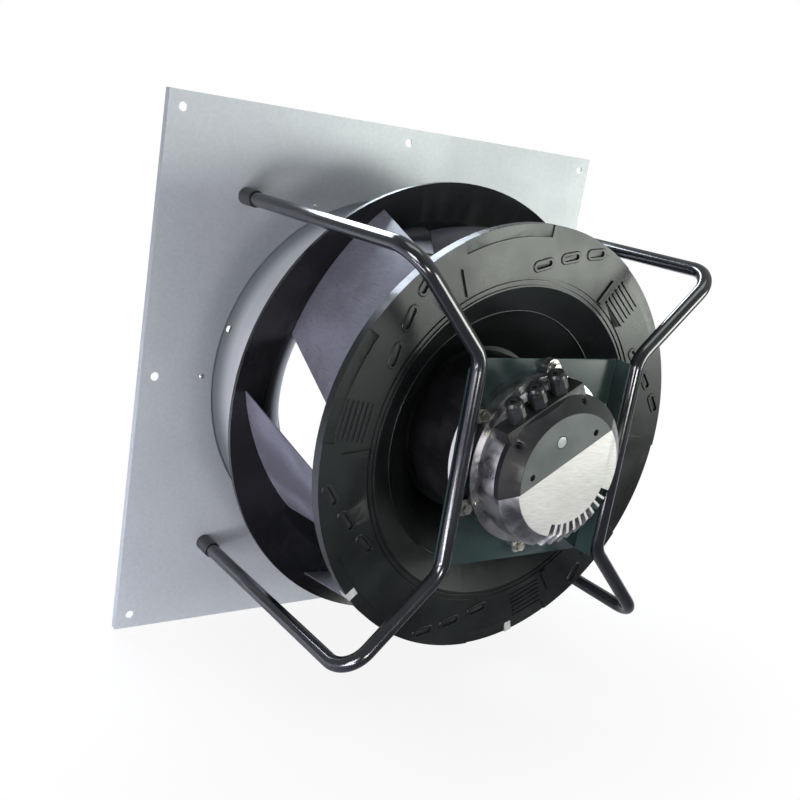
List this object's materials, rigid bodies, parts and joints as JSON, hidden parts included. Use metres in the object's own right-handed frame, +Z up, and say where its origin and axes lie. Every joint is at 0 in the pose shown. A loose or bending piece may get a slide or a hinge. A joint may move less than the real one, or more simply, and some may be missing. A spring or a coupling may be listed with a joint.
{
  "type": "plug fan",
  "caption": "Plug fan: a square inlet plate with a spun nozzle carries, on bent tubes, an external-rotor motor whose backward-curved impeller spins freely.",
  "frame": {"origin": "centre of the inlet plate, on its motor-side face", "axes": "+Y along the fan axis out of the inlet, -Y towards the motor, +Z up, +X to the right seen from the motor"},
  "size_m": [0.63, 0.3819, 0.63],
  "materials": {
    "galvanised_sheet": "galvanised, satin",
    "spun_sheet": "galvanised, spun, satin",
    "black_paint": "gloss black paint",
    "disc_plastic": "satin moulded",
    "blade_plastic": "fine grained, matt",
    "sleeve_plastic": "satin moulded",
    "gland_plastic": "satin moulded",
    "cast_aluminium": "raw die casting",
    "cover_plastic": "fine grained",
    "panel_paint": "satin grey",
    "lens_plastic": "clear moulded",
    "zinc_steel": "zinc plated",
    "clip_steel": "bright spring steel",
    "seal_rubber": "soft matt",
    "board_laminate": "solder resist",
    "lamination_steel": "stacked sheet",
    "winding_copper": "enamelled wire",
    "magnet_ferrite": "ground ferrite",
    "bearing_steel": "ground",
    "cage_plastic": "moulded"
  },
  "bodies": {
    "frame": {"inlet_plate": "galvanised_sheet", "inlet_nozzle": "spun_sheet", "nozzle_rivets": "zinc_steel", "support_tube_left": "black_paint", "support_tube_right": "black_paint", "foot_sleeve_1": "sleeve_plastic", "foot_sleeve_2": "sleeve_plastic", "foot_sleeve_3": "sleeve_plastic", "foot_sleeve_4": "sleeve_plastic", "foot_screws": "zinc_steel", "motor_plate": "black_paint", "weld_beads": "black_paint", "stator_flange": "cast_aluminium", "flange_screws": "zinc_steel", "flange_washers": "zinc_steel", "flange_nuts": "zinc_steel", "electronics_housing": "cast_aluminium", "housing_gasket": "seal_rubber", "housing_screws": "zinc_steel", "terminal_cover": "cover_plastic", "cover_panel": "panel_paint", "cover_screws": "zinc_steel", "status_lens": "lens_plastic", "gland_body_1": "gland_plastic", "gland_body_2": "gland_plastic", "gland_body_3": "gland_plastic", "gland_cap_1": "gland_plastic", "gland_cap_2": "gland_plastic", "gland_cap_3": "gland_plastic", "gland_seal_1": "seal_rubber", "gland_seal_2": "seal_rubber", "gland_seal_3": "seal_rubber", "circuit_board": "board_laminate", "stator_stack": "lamination_steel", "stator_windings": "winding_copper", "front_bearing_outer": "bearing_steel", "rear_bearing_outer": "bearing_steel", "bearing_spring": "clip_steel"},
    "impeller": {"back_disc": "disc_plastic", "front_shroud": "disc_plastic", "blade_1": "blade_plastic", "blade_2": "blade_plastic", "blade_3": "blade_plastic", "blade_4": "blade_plastic", "blade_5": "blade_plastic", "blade_6": "blade_plastic", "rotor_can": "cast_aluminium", "rotor_magnets": "magnet_ferrite", "motor_shaft": "bearing_steel", "hub_screws": "zinc_steel", "front_bearing_inner": "bearing_steel", "rear_bearing_inner": "bearing_steel", "balance_clip_1": "clip_steel", "balance_clip_2": "clip_steel"},
    "front_ball_set": {"front_bearing_balls": "bearing_steel", "front_bearing_cage": "cage_plastic"},
    "rear_ball_set": {"rear_bearing_balls": "bearing_steel", "rear_bearing_cage": "cage_plastic"}
  },
  "joints": [
    {"name": "impeller_spin", "type": "hinge", "parent": "frame", "child": "impeller", "pos_m": [0, -0.27, 0], "axis": [0, -1, 0], "continuous": true},
    {"name": "front_ball_orbit", "type": "hinge", "parent": "frame", "child": "front_ball_set", "pos_m": [0, -0.30079, 0], "axis": [0, -1, 0], "continuous": true},
    {"name": "rear_ball_orbit", "type": "hinge", "parent": "frame", "child": "rear_ball_set", "pos_m": [0, -0.24579, 0], "axis": [0, -1, 0], "continuous": true}
  ],
  "couplings": [
    {"joint": "front_ball_orbit", "follows": "impeller_spin", "ratio": 0.3935},
    {"joint": "rear_ball_orbit", "follows": "impeller_spin", "ratio": 0.3935}
  ]
}
